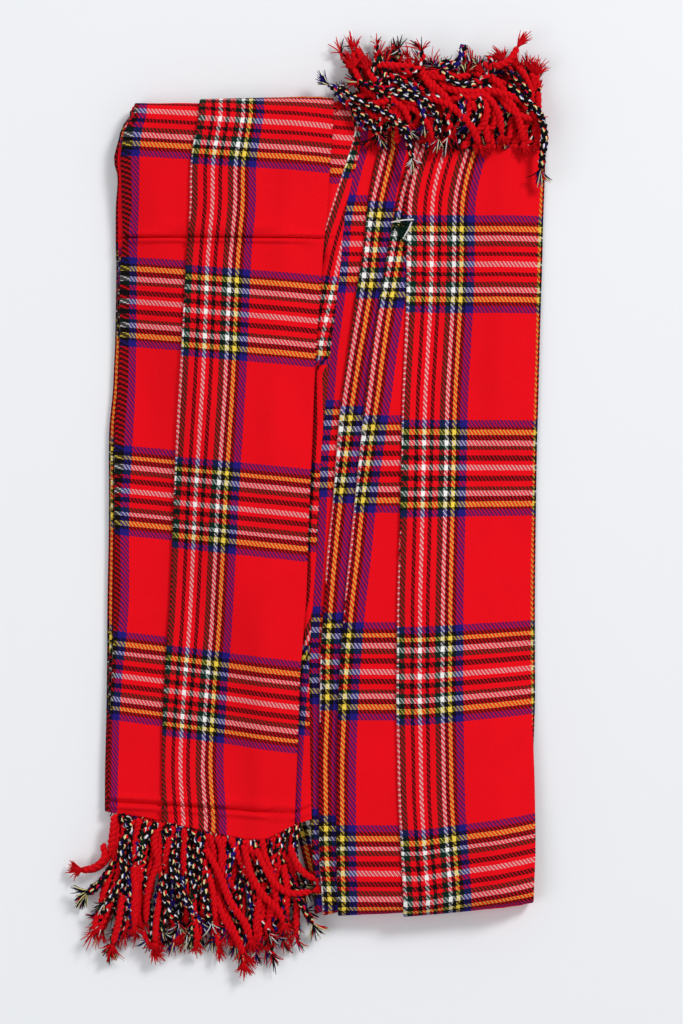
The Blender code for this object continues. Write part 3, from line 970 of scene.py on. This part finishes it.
# Short ends of the woven threads along the cut edge
def addThreadEnds(mesh, facts, ends, chance):
    x, last = facts["roots"]
    while x < last:
        x += chance.uniform(*threadEnds["apart"])
        yarn = yarns[chance.choice(threadEnds["yarns"])]
        edge = lookUp(ends, x, 1)
        high = topHeight(facts["side"], x, edge) + 0.0003
        reach = facts["sign"] * chance.uniform(*threadEnds["reach"])
        drift = chance.uniform(-threadEnds["drift"], threadEnds["drift"])
        y = edge - facts["sign"] * 1.2
        bends = [(x, y, high), (x + drift * 0.3, y + reach * 0.5, high + 0.0008),
                 (x + drift, y + reach, high - 0.0012)]
        mesh.tube(curveThrough([worldPoint(*b) for b in bends], 2.2 * unitM),
                  [cords["hair"]] * 20, 3, (yarn,) * 3)


# Short lengths of the cords that double back in the heap
def addTangle(mesh, facts, chance):
    tangle = facts["tangle"]
    for i in range(tangle["count"]):
        x, y = [chance.uniform(*tangle[way]) for way in ("across", "along")]
        heading = math.radians(chance.gauss(*tangle["heading"]))
        curl = math.radians(chance.gauss(0, tangle["curl"]))
        z = chance.uniform(*tangle["heights"])
        points = [(x, y, z - 0.0030)]
        for rise in (0.0006, 0.0002, -0.0018):
            x += tangle["reach"] * math.cos(heading)
            y += tangle["reach"] * math.sin(heading)
            heading += curl
            inside = min(max(x, tangle["limits"][0]), tangle["limits"][1])
            points.append((inside, y, z + rise))
        if chance.random() < tangle["turned"]:
            points.reverse()
        mesh.cord(points, chance.choice(("red",) + backKinds), facts["seed"] + 1200 + i)


def makeFringe(name, material):
    mesh = FringeMesh()
    facts = fringeSides[name]
    chance = random.Random(facts["seed"])
    ends = rightEnd if facts["side"] == "right" else leftEnd
    addBackRows(mesh, facts, ends, chance)
    addTopCords(mesh, facts, chance)
    addThreadEnds(mesh, facts, ends, chance)
    addTangle(mesh, facts, chance)
    for i, (kind, high, *numbers) in enumerate(facts["loose"], facts["first loose"]):
        bends = bendsOf(numbers)
        points = [(x, y, high - 0.0028 * abs(2 * k / (len(bends) - 1) - 1)**2)
                  for k, (x, y) in enumerate(bends)]
        mesh.cord(points, kind.split()[0], facts["seed"] + i,
                  "fluffy" if "fluffy" in kind else "top")
    print(name, len(mesh.shape.faces), "faces")
    return finishMesh(name, mesh.shape, material)


# Hand stitches that hold the pleats together: three points of each and its yarn
stitches = (
    ((392, 221.5), (402, 220), (413, 219.5), "W"),
    ((393, 223), (398, 232), (404, 241), "G"),
    ((411, 222), (408, 230), (403, 239), "W"),
    ((395, 222.5), (404, 223.5), (411, 222), "G"),
    ((409, 224), (403, 229), (399, 233), "G"),
    ((397, 225), (402, 227), (408, 226), "G"),
    ((398, 227.5), (403, 231), (407, 229.5), "G"),
    ((400, 231), (403, 234), (406, 233), "G"),
    ((401, 234.5), (403.5, 236.5), (405, 235.5), "G"),
    ((396, 224), (400, 229), (403.5, 237), "G"),
    ((408.5, 223.5), (405.5, 230), (403.5, 238), "G"),
)
stitchSize = {"radius": 0.00048, "above": 0.0016, "sunk": -0.0022, "step": 0.0006}


def makeTack(material):
    mesh = FringeMesh()
    high = topHeight("right", 406, 230) + stitchSize["above"]
    for a, b, c, letter in stitches:
        bends = ((*a, stitchSize["sunk"]), (a[0] + 0.4, a[1] + 0.3, -0.0003), (*b, 0.0002),
                 (c[0] - 0.4, c[1] - 0.3, -0.0003), (*c, stitchSize["sunk"]))
        points = [worldPoint(x, y, high + z) for x, y, z in bends]
        mesh.tube(curveThrough(points, stitchSize["step"]), [stitchSize["radius"]] * 200, 6,
                  (yarns[letter],) * 3)
    print("sewn_tack", len(stitches), "stitches")
    return finishMesh("sewn_tack", mesh.shape, material)


setting = {
    "camera height": 2.4, "view plane": 0.017, "picture": (683, 1024), "sensor": 24.0,
    "floor": (0.80, 0.81, 0.835, 1), "room": (0.96, 0.98, 1.0, 1), "room light": 0.50,
    "aim": (0.02, 0, 0),
    "key": ((2.3, 2.5, 3.0), 1.1, 128, (1.0, 0.995, 0.985)),
    "fill": ((-2.2, -0.8, 3.0), 2.4, 36, (0.98, 0.99, 1.0)),
}


def addLight(name):
    place, size, power, color = setting[name]
    light = bpy.data.lights.new(name, "AREA")
    light.shape = "RECTANGLE"
    light.size = light.size_y = size
    light.energy = power
    light.color = color
    made = bpy.data.objects.new(name, light)
    made.location = place
    aim = Vector(setting["aim"]) - Vector(place)
    made.rotation_euler = aim.to_track_quat("-Z", "Y").to_euler()
    bpy.context.scene.collection.objects.link(made)


def makeSetting():
    camera = bpy.data.cameras.new("camera")
    wide, tall = setting["picture"]
    high = setting["camera height"]
    camera.sensor_fit = "VERTICAL"
    camera.sensor_height = setting["sensor"]
    camera.lens = setting["sensor"] * (high - setting["view plane"]) / (tall * unitM)
    camera.clip_end = 20
    made = bpy.data.objects.new("camera", camera)
    middle = worldPoint(wide / 2, tall / 2, 0)
    made.location = (middle.x, middle.y, high)
    bpy.context.scene.collection.objects.link(made)
    bpy.context.scene.camera = made

    floorShape = bmesh.new()
    bmesh.ops.create_grid(floorShape, x_segments=1, y_segments=1, size=3)
    paper, shader = newMaterial("pale_floor")
    shader.inputs["Base Color"].default_value = setting["floor"]
    shader.inputs["Roughness"].default_value = 0.95
    floor = finishMesh("floor", floorShape, paper, False)

    world = bpy.data.worlds.new("soft room")
    world.use_nodes = True
    background = world.node_tree.nodes["Background"]
    background.inputs[0].default_value = setting["room"]
    background.inputs[1].default_value = setting["room light"]
    bpy.context.scene.world = world
    bpy.context.scene.view_settings.view_transform = "Standard"
    addLight("key")
    addLight("fill")


makeSetting()
print("setting made")
clothMaterial = tartanMaterial()
cordMaterial = yarnMaterial()
cloth = makeCloth(clothMaterial)
fringeUpper = makeFringe("fringe_upper_cords", cordMaterial)
fringeLower = makeFringe("fringe_lower_cords", cordMaterial)
tack = makeTack(cordMaterial)
print("pieces made")

for piece in (cloth, fringeUpper, fringeLower, tack):
    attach(piece, "root")
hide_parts("cloth")
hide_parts("fringe_upper")
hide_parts("fringe_lower")
